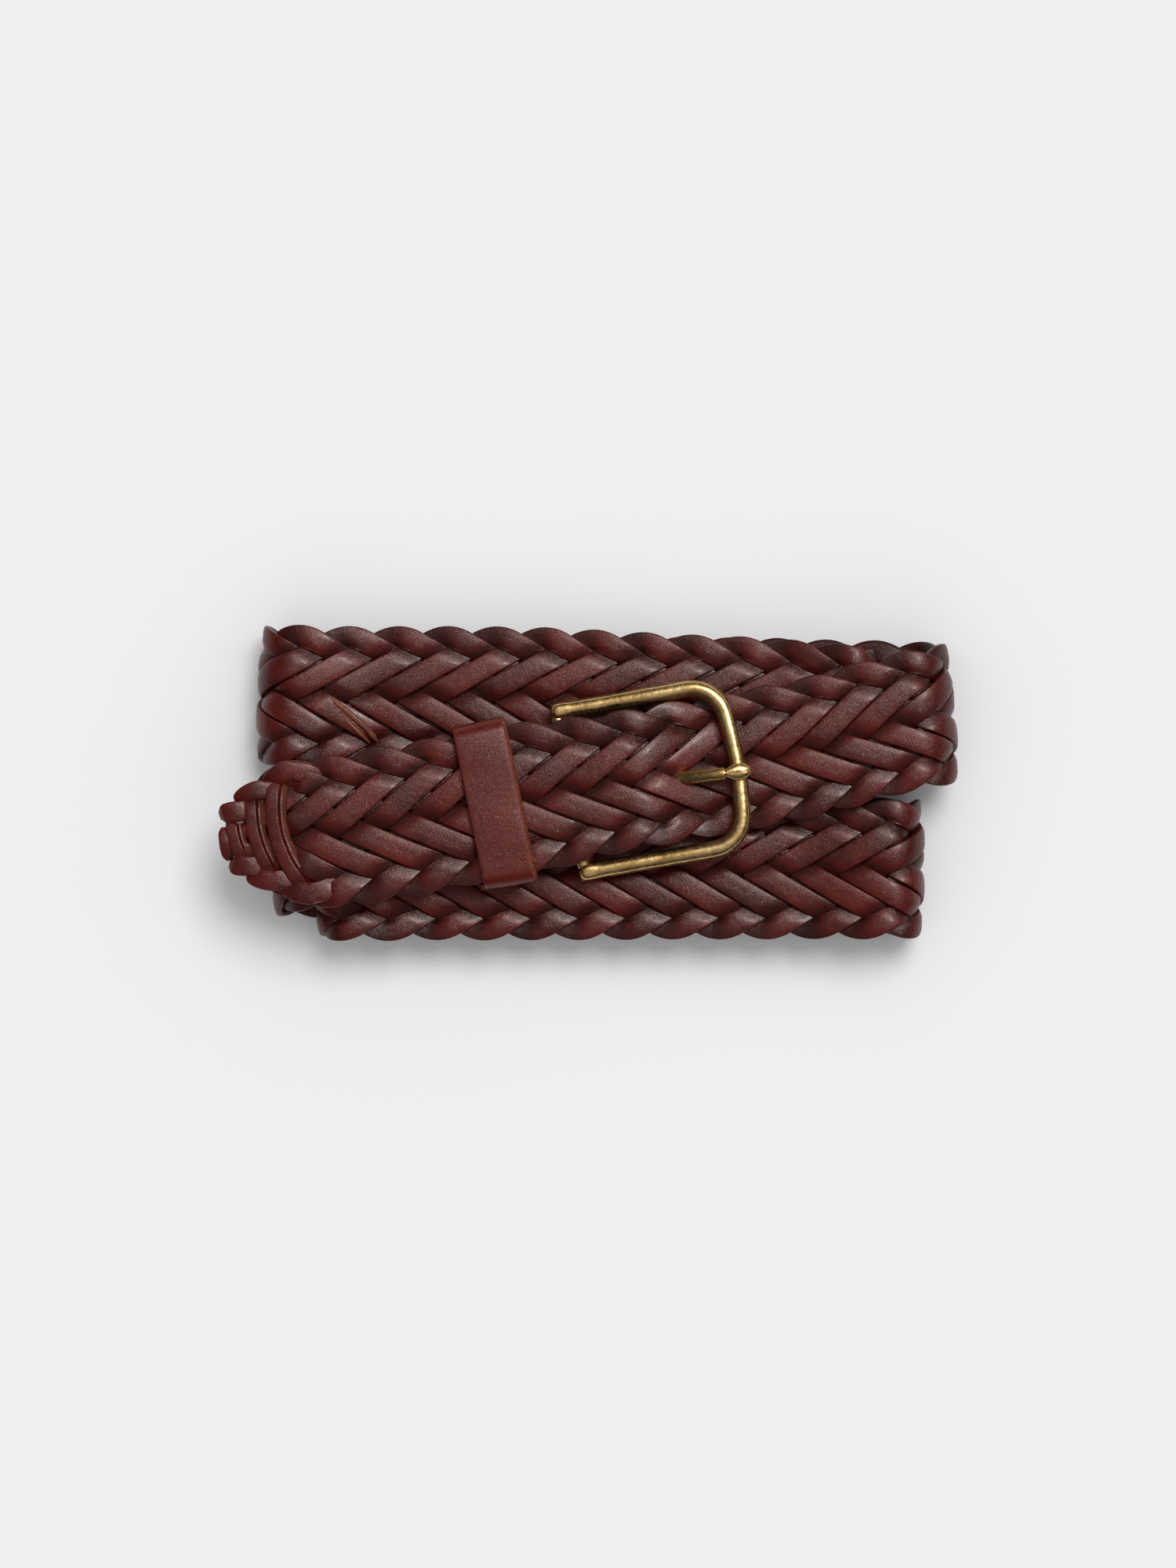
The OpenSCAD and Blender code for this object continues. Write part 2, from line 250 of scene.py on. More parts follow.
# ---------------------------------------------------------------- materials
class Graph:
    """A material with short calls for its nodes; every texture is in object space."""

    def __init__(self, name):
        self.mat = bpy.data.materials.new(name)
        self.mat.use_nodes = True
        self.nt = self.mat.node_tree
        self.bsdf = self.nt.nodes["Principled BSDF"]
        self.place = self.nt.nodes.new("ShaderNodeTexCoord").outputs["Object"]

    def link(self, a, b):
        self.nt.links.new(a, b)

    def put(self, sock, value):
        if isinstance(value, bpy.types.NodeSocket):
            self.link(value, sock)
        else:
            sock.default_value = value

    def noise(self, scale, detail=3.0, rough=0.55, distortion=0.0, out="Fac"):
        n = self.nt.nodes.new("ShaderNodeTexNoise")
        n.inputs["Scale"].default_value = scale
        n.inputs["Detail"].default_value = detail
        n.inputs["Roughness"].default_value = rough
        n.inputs["Distortion"].default_value = distortion
        self.link(self.place, n.inputs["Vector"])
        return n.outputs[out]

    def voronoi(self, scale, feature="F1", vec=None):
        n = self.nt.nodes.new("ShaderNodeTexVoronoi")
        n.feature = feature
        n.inputs["Scale"].default_value = scale
        self.link(vec or self.place, n.inputs["Vector"])
        return n.outputs["Distance"]

    def math(self, op, a, b, clamp=False):
        n = self.nt.nodes.new("ShaderNodeMath")
        n.operation = op
        n.use_clamp = clamp
        self.put(n.inputs[0], a)
        self.put(n.inputs[1], b)
        return n.outputs[0]

    def add(self, a, b):
        return self.math("ADD", a, b)

    def times(self, a, b, clamp=False):
        return self.math("MULTIPLY", a, b, clamp)

    def warped(self, scale, amount):
        """Object space, pushed about by a noise."""
        push = self.nt.nodes.new("ShaderNodeVectorMath")
        push.operation = "SCALE"
        push.inputs["Scale"].default_value = amount
        self.link(self.noise(scale, 2.0, 0.5, out="Color"), push.inputs[0])
        total = self.nt.nodes.new("ShaderNodeVectorMath")
        total.operation = "ADD"
        self.link(self.place, total.inputs[0])
        self.link(push.outputs[0], total.inputs[1])
        return total.outputs[0]

    def ramp(self, fac, lo, hi, out_lo=0.0, out_hi=1.0):
        n = self.nt.nodes.new("ShaderNodeMapRange")
        n.interpolation_type = "SMOOTHSTEP"
        n.inputs["From Min"].default_value = lo
        n.inputs["From Max"].default_value = hi
        n.inputs["To Min"].default_value = out_lo
        n.inputs["To Max"].default_value = out_hi
        self.put(n.inputs["Value"], fac)
        return n.outputs["Result"]

    def colour(self, fac, a, b):
        """From colour a to colour b; each is a socket or an 8-bit sRGB triple."""
        n = self.nt.nodes.new("ShaderNodeMix")
        n.data_type = "RGBA"
        self.put(n.inputs[0], fac)
        self.put(n.inputs[6], a if isinstance(a, bpy.types.NodeSocket) else srgb(*a))
        self.put(n.inputs[7], b if isinstance(b, bpy.types.NodeSocket) else srgb(*b))
        return n.outputs[2]

    def attr(self, name):
        n = self.nt.nodes.new("ShaderNodeAttribute")
        n.attribute_name = name
        return n.outputs["Fac"]

    def bump(self, height, strength, distance, normal=None):
        n = self.nt.nodes.new("ShaderNodeBump")
        n.inputs["Strength"].default_value = strength
        n.inputs["Distance"].default_value = distance
        self.link(height, n.inputs["Height"])
        if normal is not None:
            self.link(normal, n.inputs["Normal"])
        return n.outputs["Normal"]


def srgb(*rgb):
    """8-bit sRGB to a linear colour with alpha."""
    linear = []
    for c in (x / 255.0 for x in rgb):
        linear.append(c / 12.92 if c <= 0.04045 else ((c + 0.055) / 1.055) ** 2.4)
    return (*linear, 1.0)


def leather(name, patches, dark, light, pebble, wrinkle):
    """Burgundy leather; patches are the limits of the redder patches' ramp."""
    g = Graph(name)
    edge = g.attr("edge")
    big = g.noise(95, 3, 0.6)
    mid = g.noise(420, 3, 0.55)
    # colour: dark burgundy brown with redder, worn patches; painted shade darkens it where a strand
    # dips under its neighbours and on the squeezed inner side of a turn
    f = g.add(g.times(big, 0.8), g.times(mid, 0.3))
    f = g.add(f, g.times(g.attr("tone"), 0.14))
    base = g.colour(g.ramp(f, *patches), dark, light)
    # painted shade: the leather goes towards near black in the plait's dips and squeezed turns
    base = g.colour(g.times(g.attr("painted_shade_and_patina"), 0.75, clamp=True), base, (22, 8, 6))
    # cut edges: burnished dark in places, raw orange brown in others
    raw = g.colour(g.ramp(g.noise(900, 3, 0.7), 0.25, 0.75), (88, 34, 21), (142, 68, 42))
    bare = g.ramp(g.add(edge, g.times(big, 0.35)), 0.72, 1.1)
    base = g.colour(g.times(edge, 0.8, clamp=True), base, (38, 13, 9))
    base = g.colour(bare, base, raw)
    # grain: small pebbles with creases between, and a finer tooth
    cells = g.ramp(g.voronoi(2700, "DISTANCE_TO_EDGE", g.warped(700, 0.0007)), 0.0, 0.30)
    between = g.math("SUBTRACT", 1.0, cells)
    base = g.colour(g.times(between, 0.35), base, (26, 9, 7))
    g.link(base, g.bsdf.inputs["Base Color"])
    grain = g.add(g.times(cells, pebble), g.times(g.noise(5200, 3, 0.65), 0.35))
    n1 = g.bump(grain, 0.34, 0.00016)
    n2 = g.bump(g.noise(260, 3, 0.6, distortion=0.4), wrinkle, 0.0009, n1)
    g.link(n2, g.bsdf.inputs["Normal"])
    rough = g.add(g.ramp(mid, 0.3, 0.7, 0.20, 0.30), g.times(between, 0.12))
    rough = g.math("ADD", rough, g.times(edge, 0.25), clamp=True)
    g.link(rough, g.bsdf.inputs["Roughness"])
    g.bsdf.inputs["Specular IOR Level"].default_value = 0.36
    g.bsdf.inputs["Specular Tint"].default_value = (1.0, 0.76, 0.69, 1.0)
    g.bsdf.inputs["Coat Weight"].default_value = 0.10
    g.bsdf.inputs["Coat Roughness"].default_value = 0.24
    return g.mat


def brass(name):
    """Antique brass: mottled, with a few dark pits and darker grooves."""
    g = Graph(name)
    big = g.noise(160, 4, 0.65)
    mid = g.noise(900, 4, 0.6)
    base = g.colour(g.ramp(big, 0.32, 0.68), (198, 160, 98), (232, 198, 138))
    base = g.colour(g.times(g.ramp(mid, 0.56, 0.76), 0.3), base, (140, 104, 56))
    pits = g.ramp(g.voronoi(1500), 0.06, 0.17)
    gate = g.ramp(g.noise(420, 2, 0.5), 0.58, 0.66)
    pits = g.math("MAXIMUM", pits, g.math("SUBTRACT", 1.0, gate), clamp=True)
    base = g.colour(pits, (58, 38, 20), base)
    base = g.colour(g.times(g.attr("painted_shade_and_patina"), 0.85, clamp=True), base, (70, 48, 24))
    g.link(base, g.bsdf.inputs["Base Color"])
    g.bsdf.inputs["Metallic"].default_value = 1.0
    rough = g.add(g.ramp(mid, 0.3, 0.7, 0.22, 0.38), g.times(g.math("SUBTRACT", 1.0, pits), 0.3))
    g.link(rough, g.bsdf.inputs["Roughness"])
    n1 = g.bump(pits, 0.5, 0.00012)
    n2 = g.bump(g.noise(2200, 3, 0.6), 0.12, 0.0001, n1)
    n3 = g.bump(big, 0.12, 0.0012, n2)
    g.link(n3, g.bsdf.inputs["Normal"])
    return g.mat


def thread(name):
    g = Graph(name)
    fibre = g.noise(3500, 3, 0.6)
    base = g.colour(g.ramp(fibre, 0.3, 0.7), (40, 18, 14), (84, 44, 34))
    g.link(base, g.bsdf.inputs["Base Color"])
    g.bsdf.inputs["Roughness"].default_value = 0.6
    g.link(g.bump(fibre, 0.4, 0.0001), g.bsdf.inputs["Normal"])
    return g.mat


STRAND_MAT = leather("strand_leather", (0.36, 0.84), (60, 12, 7), (98, 20, 13), 0.5, 0.14)
SMOOTH_MAT = leather("smooth_leather", (0.1, 1.0), (72, 14, 9), (108, 23, 15), 0.4, 0.08)
BRASS_MAT = brass("antique_brass")
THREAD_MAT = thread("thread")

# ---------------------------------------------------------------- strands
# A strand's section: across, of half its width; out, of half its thickness; 1 on the top face;
# and how much it is a cut edge.
SECTION = np.array([
    (-0.93, 1, 1, 0.1), (-0.87, 1, 1, 0), (-0.60, 1, 1, 0), (-0.30, 1, 1, 0), (0.0, 1, 1, 0),
    (0.30, 1, 1, 0), (0.60, 1, 1, 0), (0.87, 1, 1, 0), (0.93, 1, 1, 0.1), (0.982, 0.82, 0, 0.6),
    (1.0, 0.42, 0, 1), (1.0, -0.35, 0, 1), (0.965, -0.88, 0, 0.6), (0.6, -1, 0, 0.5),
    (0.0, -1, 0, 0.5), (-0.6, -1, 0, 0.5), (-0.965, -0.88, 0, 0.6), (-1.0, -0.35, 0, 1),
    (-1.0, 0.42, 0, 1), (-0.982, 0.82, 0, 0.6)], float)
PC, PZ, PTOP, PEDGE = SECTION.T
CROWN = 0.24 * (1 - np.abs(PC) ** 3.6) * PTOP      # rise of the top face's middle
ARCH = 0.6                                         # rise of an over stretch
ON_FLOOR = 0.02
# The real plait is looser and tighter in places: mm gained, from, over how far
DRIFT = [(-4.4, ST[2][2], RUN[2]), (8.2, FS[2], 150), (-2.4, FS[4], 150), (-1.6, S_TAIL, 70)]


def len_at(w):
    """Strap length at step w of the weave."""
    s = (w - PHASE) * STEP
    return s + sum(gain * soft((s - start) / over) for gain, start, over in DRIFT)


def strap_width(s):
    to_tip = s - STRAP_L
    narrow = 1 - 0.09 * soft((to_tip + 27) / 14) - 0.44 * soft((to_tip + 16) / 14)
    tail = mix(STRAP_W, TAIL_W, soft((12 - tail_t(s)) / 26)) * narrow
    return np.where(s < S_TAIL, STRAP_W, tail)


def zig(u):
    """A strand's place across the strap, 1 to -1 and back in 18 steps, with rounded turns."""
    m = np.mod(u, 18)
    d = np.where(m > 9, 18 - m, m)
    x = np.where(d < ROUND, (d * d + ROUND * ROUND) / (2 * ROUND),
                 np.where(d > 9 - ROUND, 9 - ((9 - d) ** 2 + ROUND * ROUND) / (2 * ROUND), d))
    return (1 - 2 * x / 9) / (1 - ROUND / 9)


def centre(w, k):
    """Strand k's middle at step w: strap length, and place across the strap."""
    s = len_at(w)
    return s, zig(w - 2 * k) * (strap_width(s) - STRAND_W) / 2


def from_turn(u):
    """Steps from the nearest turn at an edge, and the steps since the last one."""
    m = np.mod(u, 9)
    return np.where(m > 4.5, m - 9, m), m


def layer_height(u):
    """Over (+1) or under (-1), with quick soft steps between crossings."""
    turn, m = from_turn(u)
    i = np.clip(np.floor(m).astype(int), 0, 8)
    a, b = LAY[i], LAY[i + 1]
    early = 0.12 * np.sign(a - b)
    h = mix(a, b, soft((m - i - 0.5 + early) / 0.95 + 0.5))
    # at the strap's edge a strand rides high round the turn, then dives
    edge = 1.0 - 2.0 * soft((turn + 0.62) / 1.5)
    return np.where((m < 1) | (m > 8), edge, h)


def arch(u):
    """1 in the middle of an over stretch, 0 at its ends and below."""
    m = np.mod(u, 9)
    rise = np.clip(1 - ((m - 3.0) / 1.55) ** 2, -0.35, 1)
    return rise * soft((m - 1.2) / 0.3) * soft((4.8 - m) / 0.3)


def under_tip(w, k):
    """Over 0 where a strand slips under the turned-back ends at the tip, in units of 3 mm."""
    s, v = centre(w, k)
    return (15.5 + 6.5 * np.abs((v - 0.5) / 16) ** 2.5 - (STRAP_L - s)) / 3.0 + 0.6


# The strand ends, turned back and tucked in at the tip. Each is a strand's number, its width, how
# far the top is cut back at its right edge, and points: distance from the tip, across, height.
TIP = [
    (8, 3.2, 0.3, [(0.6, 3.0, -1.2), (0.5, 0.6, -0.35), (0.4, -1.8, -0.3), (0.6, -5.4, -1.3)]),
    (1, 4.8, 0.9, [(3.8, 5.2, -1.0), (3.5, 2.2, 0.1), (3.7, -1.0, 0.3), (4.2, -3.6, 0.1),
                   (4.6, -6.4, -1.0)]),
    (2, 5.2, 0.3, [(9.0, 6.8, -0.9), (6.4, 6.5, 0.5), (3.6, 6.4, 0.8), (1.4, 6.1, 0.3),
                   (0.1, 5.9, -1.0)]),
    (3, 5.2, 0.3, [(11.0, -7.0, -1.0), (7.6, -7.3, 0.4), (4.6, -7.2, 0.8), (2.0, -6.7, 0.3),
                   (0.5, -6.1, -1.0)]),
    (4, 4.8, 0.8, [(9.6, 10.4, -0.8), (9.0, 6.6, 0.9), (8.7, 2.0, 1.25), (9.1, -2.6, 1.2),
                   (10.3, -7.0, 0.8), (11.6, -10.6, -0.9)]),
    (5, 5.0, 0.4, [(16.5, 11.2, -0.6), (13.0, 11.4, 0.5), (10.0, 11.2, 0.9), (7.2, 10.0, 0.5),
                   (5.2, 8.0, -0.9)]),
    (6, 5.3, 0.5, [(17.5, -10.6, -0.8), (13.6, -11.2, 0.6), (10.2, -11.3, 0.95),
                   (7.0, -10.2, 0.5), (5.0, -8.2, -0.9)]),
    (7, 5.4, 1.0, [(16.4, 13.8, -0.4), (15.0, 9.6, 1.3), (14.2, 4.0, 1.6), (14.3, -0.6, 1.6),
                   (15.3, -5.6, 1.5), (17.2, -10.0, 1.1), (19.2, -13.6, -0.7)]),
    (0, 5.4, 0.5, [(27.5, 13.2, -0.9), (23.6, 15.4, 0.6), (19.6, 16.2, 1.1), (16.2, 14.8, 0.8),
                   (13.4, 12.2, -0.9)]),
    (1, 5.6, 0.6, [(28.0, -11.6, -0.9), (23.6, -14.0, 0.7), (19.2, -14.8, 1.1),
                   (15.6, -13.8, 0.7), (12.8, -11.6, -0.9)]),
]


def tip_strip(k, width, cut, points):
    path = through(points)
    s, v, h = STRAP_L - path[:, 0], path[:, 1], path[:, 2]
    ts, tv = unit(np.gradient(s), np.gradient(v))
    along = np.concatenate([[0], np.cumsum(np.hypot(np.diff(s), np.diff(v)))])
    from_end = np.minimum(along, along[-1] - along)
    round_end = np.sqrt(1 - (1 - np.clip(from_end / 2.0, 0, 1)) ** 2)
    half = width / 2 * (1 + 0.03 * wave(v + s, 17 + k, 9)) * np.maximum(round_end, 0.45)
    delta = PC * half[:, None]
    away = -np.sign(-tv[:, None] * PC + 1e-9)      # +1 on the side away from the tip
    slant = cut * np.clip(away, 0, 1) * (PZ + 1) / 2 * (np.abs(PC) > 0.5)
    delta = delta - np.sign(PC) * slant
    S = s[:, None] - tv[:, None] * delta
    V = v[:, None] + ts[:, None] * delta + side_shift(s)[:, None]
    Z = h[:, None] + PZ * STRAND_T / 2 + CROWN
    verts, faces = loft(place(S, V, Z))
    edge = PEDGE * np.where(away > 0, 1.15, 0.45)
    tone = np.full(Z.shape, 0.45 + 0.08 * (k % 4))
    return verts, faces, edge, tone, np.zeros(Z.shape)


def sliver(width, points):
    """A thin torn fibre of leather, oval, through strap places."""
    s, v, h = through(points).T
    ts, tv = unit(np.gradient(s), np.gradient(v))
    taper = np.sqrt(np.clip(1 - np.linspace(-1, 1, len(s)) ** 4, 0.02, 1))
    half = width / 2 * taper * (1 + 0.2 * wave(s, 41, 4))
    angle = circle(10)
    S = s[:, None] - (tv * half)[:, None] * np.cos(angle)
    V = (v + side_shift(s))[:, None] + (ts * half)[:, None] * np.cos(angle)
    Z = h[:, None] + 0.3 * np.sin(angle) * taper[:, None]
    verts, faces = loft(place(S, V, Z))
    flat = np.ones(Z.shape)
    return verts, faces, flat, 0.6 * flat, 0 * flat


# A strand split along its edge, with two raw fibres standing up: width, and strap places
TORN_STRAND = 5
TORN = [(1.5, [(702.0, 0.2, 1.5), (699.0, -2.2, 2.3), (695.0, -5.4, 2.6), (691.4, -8.6, 2.5),
               (688.6, -11.8, 1.6)]),
        (1.1, [(698.6, -4.4, 1.5), (696.4, -6.6, 2.2), (693.4, -9.4, 2.3), (690.6, -12.0, 1.5)])]


def joined(name, parts, material):
    """One mesh from parts of (verts, faces, edge, tone, painted shade)."""
    verts, faces, offset = [], [], 0
    for part in parts:
        verts.append(part[0])
        faces += moved(part[1], offset)
        offset += len(part[0])
    attrs = {key: np.concatenate([np.ravel(p[i]) for p in parts])
             for key, i in (("edge", 2), ("tone", 3), ("painted_shade_and_patina", 4))}
    return new_mesh(name, np.vstack(verts), faces, material, attrs)


def make_strand(k):
    w = np.arange(PHASE + 6 / STEP, PHASE + STRAP_L / STEP, 0.15)
    w = w[len_at(w) < STRAP_L - 3.2]
    u = w - 2 * k
    s, v = centre(w, k)
    a, b = centre(w - 0.12, k), centre(w + 0.12, k)
    ts, tv = unit(b[0] - a[0], b[1] - a[1])
    side_by_side = PITCH * np.sin(np.arctan((strap_width(s) - STRAND_W) / (9 * STEP)))
    half = side_by_side / 2 * (1.0 + 0.035 * wave(s, 31 + k, 38))
    v = v + 0.12 * wave(s, 77 + k, 45)
    delta = PC * half[:, None]
    S = s[:, None] - tv[:, None] * delta
    V = v[:, None] + ts[:, None] * delta + side_shift(s)[:, None]
    # each edge of a strand meets a crossing at its own time
    lean = np.clip(tv / 0.5, -1, 1)
    ue = u[:, None] + delta / PITCH * lean[:, None]
    H = layer_height(ue) * (LAYER - 0.02)
    # the inner side of a turn is squeezed: it puckers down, the outer side stands a little proud
    turn, _ = from_turn(u)
    at_top = np.where(np.mod(u + 4.5, 18) < 9, 1.0, -1.0)
    inner = np.clip(-PC * at_top[:, None] * np.sign(ts)[:, None], -1, 1)
    pucker = np.exp(-(turn / 0.62) ** 2)[:, None] * (np.clip((inner - 0.25) / 0.6, 0, 1) ** 1.3)
    H = H - 0.55 * pucker * PTOP - 0.12 * pucker
    H = H + 0.05 * wave(s, 5 + k, 21)[:, None]
    H = H + 0.10 * wave(s, 13 + k, 30)[:, None] * PC
    H = H + ARCH * arch(ue)
    H = H - 1.3 * soft(under_tip(w, k) + 0.35)[:, None]
    Z = H + PZ * STRAND_T / 2 + CROWN - 0.06 * PTOP * (np.abs(PC) > 0.8)
    pts = place(S, V, Z)
    pts[..., 2] = np.maximum(pts[..., 2], ON_FLOOR)        # pressed flat where it lies on the floor
    verts, faces = loft(pts)
    worn = np.clip(0.50 + 0.55 * wave(s, 91 + k, 17), 0.1, 1)[:, None]
    own = 0.5 + 0.5 * wave(s, 211 + k, 60) + 0.15 * ((k * 5) % 9 - 4)
    tone = np.broadcast_to(own[:, None], Z.shape)
    # painted shade: darker on the squeezed inner side of a turn and where the strand dips under a
    # crossing strand
    painted_shade_and_patina = 0.9 * pucker * PTOP + 0.9 * soft((0.85 - layer_height(ue)) / 1.0)
    parts = [(verts, faces, PEDGE * worn, tone, painted_shade_and_patina)]
    parts += [tip_strip(*t) for t in TIP if t[0] == k]
    if k == TORN_STRAND:
        parts += [sliver(*t) for t in TORN]
    ob = joined(f"leather_strand_{k + 1}", parts, STRAND_MAT)
    finish_piece(ob, f"strand_{k + 1}", "strap")


for k in range(9):
    make_strand(k)

# ---------------------------------------------------------------- parts round the hinge
# Made with the hinge bar along y at the origin and the buckle towards +x.
CL, SL = basis(LIE)
ROT = np.array([[CL, -SL, 0], [SL, CL, 0], [0, 0, 1]])


def at_hinge(p, pitch_deg=0.0):
    c, s = basis(pitch_deg)
    tilt = np.array([[c, 0, -s], [0, 1, 0], [s, 0, c]])
    return np.asarray(p, float) @ tilt.T @ ROT.T + HINGE


PIN_D, ROD_D, PRONG_D = 3.6, 4.3, 3.0
ARM_Y, REACH, CORNER_R = 20.3, 42.1, 8.5           # the frame's arms, front bar and corners
BRAID_H = LAYER + STRAND_T / 2                     # half the plait's thickness
CHAPE_T, CHAPE_W, CHAPE_L = 1.2, 35.2, 44.0
BEND_IN = PIN_D / 2 + 0.06
LEAF_OUT = BEND_IN + CHAPE_T
FRONT_Z = TAIL_LOW + BRAID_H + 0.45 + ROD_D / 2 - BAR_Z
TILT = math.degrees(math.asin(FRONT_Z / REACH))
TIP_Z = FRONT_Z + ROD_D / 2 + 0.22 + PRONG_D / 2


def band(path, normals, width, thick, bulge, edge_round, bevel=1.1):
    """A leather strip round a path (n, 2) in (y, z) with outward normals, its width along x.
    Returns its rings, and how much each point of a ring is a cut edge."""
    half = width / 2
    prof = []
    for y in np.linspace(-1, 1, 13):               # outer face
        x = -half + edge_round + (y + 1) / 2 * (width - edge_round - bevel)
        prof.append((x, thick + bulge * (1 - y * y), 0.0))
    for f in (0.04, 0.2, 0.45, 0.7, 0.92):         # bare cut edge, slanting
        prof.append((half - bevel * (1 - f), thick - 0.75 * thick * f ** 1.5, 1.0))
    prof.append((half, 0.15, 1.0))
    for y in np.linspace(1, -1, 13):               # inner face
        prof.append((y * (half - 0.1), 0.0, 0.25))
    for out in (0.15, thick * 0.5, thick - edge_round):
        prof.append((-half, out, 1.0))
    for a in (60, 30):                             # rounded edge
        c, s = basis(a)
        prof.append((-half + edge_round - edge_round * s, thick - edge_round * (1 - c), 0.5))
    prof = np.array(prof)
    rings = np.zeros((len(path), len(prof), 3))
    rings[..., 0] = prof[:, 0]
    rings[..., 1:] = path[:, None, :] + normals[:, None, :] * prof[:, 1][:, None]
    return rings, prof[:, 2]


def rounded_rect(hy, lo, hi, r, per=10, longest=1.2):
    """Closed path (y, z) and outward normals of a rounded rectangle."""
    pts, nor = [], []
    corners = [(hy - r, hi - r, 0), (-hy + r, hi - r, 90),
               (-hy + r, lo + r, 180), (hy - r, lo + r, 270)]
    for cy, cz, a0 in corners:
        for i in range(per + 1):
            c, s = basis(a0 + 90 * i / per)
            pts.append((cy + r * c, cz + r * s))
            nor.append((c, s))
    P, N = np.array(pts), np.array(nor)
    out_p, out_n = [], []
    for i in range(len(P)):
        j = (i + 1) % len(P)
        steps = max(1, int(np.linalg.norm(P[j] - P[i]) / longest))
        for q in range(steps):
            out_p.append(P[i] + (P[j] - P[i]) * q / steps)
            v = N[i] + (N[j] - N[i]) * q / steps
            out_n.append(v / np.linalg.norm(v))
    return np.array(out_p), np.array(out_n)


def keeper():
    """The loop round the chape and the tail, a little askew as in the photo."""
    middle_x, width, thick = -19.4, 13.5, 1.45
    low = -LEAF_OUT - 0.5
    high = TAIL_Z - BAR_Z + BRAID_H + 0.65
    path, nor = rounded_rect(TAIL_W / 2 + 0.5, low, high, 2.2)
    rings, edge = band(path, nor, width, thick, bulge=0.12, edge_round=0.3)
    x, y, z = rings[..., 0], rings[..., 1], rings[..., 2]
    top = soft((z - 3) / 3)
    # the top face is crowned, drops towards its lower edge and isn't quite flat
    ripple = 0.10 * top * wave(y + (x + middle_x) * 0.6, 3, 22)
    z = z + (0.35 * (1 - (y / 19) ** 2) - 0.35 * soft((-y - 8) / 12)) * top + ripple
    lean = (0.015 + 0.0018 * y) * x
    along = x + middle_x + (0.5 - 0.027 * y) * top
    pts = at_hinge(np.stack([along, y + 0.4 + lean * top, z], -1))
    verts, faces = loft(pts, closed_path=True)
    ob = new_mesh("keeper_band", verts, faces, SMOOTH_MAT,
                  {"edge": np.broadcast_to(edge, y.shape), "tone": 0.5 + 0.15 * wave(y, 9, 30),
                   "painted_shade_and_patina": np.zeros_like(y)})
    finish_piece(ob, "keeper", "keeper_band")


keeper()


def chape():
    """Leather folded round the hinge bar: a grid along the fold and across it, then thickened."""
    half = CHAPE_W / 2
    gap = BRAID_H + 0.03                           # the inner face, off the plait's middle
    neck, slot_half, slot_x, corner = -5.4, 3.0, -9.9, 3.0
    # (x, z, nx, nz) along the fold: the upper leaf, the bend and the lower leaf
    upper = [(x, gap, 0, 1) for x in np.linspace(-CHAPE_L, neck, 34)]
    for f in np.linspace(0, 1, 7)[1:]:
        upper.append((neck - neck * f, gap + (BEND_IN - gap) * soft(f), 0, 1))
    bend = []
    for a in np.linspace(90, -90, 25)[1:-1]:
        c, s = basis(a)
        bend.append((BEND_IN * c, BEND_IN * s, c, s))
    lower = [(x, -z, nx, -nz) for x, z, nx, nz in upper[::-1]]
    path = np.array(upper + bend + lower)
    ys = [-half, -half + 0.12, -half + 0.4] + list(np.linspace(-half + 1.2, -3.9, 14))
    ys += [-slot_half - 0.2, -slot_half]
    ys = np.array(ys + [-y for y in ys[::-1]])
    n, m = len(path), len(ys)
    verts, edge = [], []
    thick = np.where(path[:, 0] < -3, LEAF_OUT - gap, CHAPE_T)
    for outer in (False, True):
        for i in range(n):
            for y in ys:
                x, z, nx, nz = path[i]
                from_side, from_end = half - abs(y), x + CHAPE_L
                t = 0.0
                if outer:
                    t = thick[i] - 0.32 * (1 - min(1, from_side / 0.45)) ** 2
                    t -= 0.3 * (1 - min(1, from_end / 1.5)) ** 2
                yy = y
                if from_end < corner:              # rounded corners of the leaf's end
                    lim = math.sqrt(max(0.0, corner ** 2 - (corner - from_end) ** 2))
                    lim += half - corner
                    yy = max(-lim, min(lim, y))
                verts.append((x + nx * t, yy, z + nz * t))
                on_slot = abs(abs(y) - slot_half) < 0.01 and from_end > CHAPE_L - 11
                cut = from_side < 0.05 or from_end < 0.05 or on_slot
                edge.append(1.0 if cut else (0.0 if outer else 0.3))
    slot_j = m // 2 - 1
    faces = []
    size = n * m
    for i in range(n - 1):
        for j in range(m - 1):
            if j == slot_j and max(path[i][0], path[i + 1][0]) > slot_x:
                continue
            a, b, c, d = i * m + j, i * m + j + 1, (i + 1) * m + j + 1, (i + 1) * m + j
            faces.append((a, b, c, d))
            faces.append((size + a, size + d, size + c, size + b))
    # walls: the outer rim and the slot
    rim = {}
    for f in [f for f in faces if f[0] < size]:
        for a, b in zip(f, f[1:] + f[:1]):
            if (b, a) in rim:
                del rim[(b, a)]
            else:
                rim[(a, b)] = True
    for a, b in rim:
        faces.append((b, a, size + a, size + b))
    ob = new_mesh("chape_leather", at_hinge(verts), faces, SMOOTH_MAT,
                  {"edge": edge, "tone": np.full(len(verts), 0.3), "painted_shade_and_patina": np.zeros(len(verts))})
    mod = ob.modifiers.new("sharp", "EDGE_SPLIT")
    mod.split_angle = math.radians(60)
    finish_piece(ob, "chape", "strap")


chape()


def tube(points, radii, sides=10):
    """Rings round a level path."""
    P = np.asarray(points, float)
    T = np.gradient(P, axis=0)
    T /= np.linalg.norm(T, axis=1)[:, None]
    a = circle(sides)
    rings = []
    for p, t, r in zip(P, T, radii):
        n = np.cross(t, (0.0, 0.0, 1.0))
        n = n / np.linalg.norm(n)
        rings.append(p + r * (np.cos(a)[:, None] * n + np.sin(a)[:, None] * np.cross(n, t)))
    return np.array(rings)


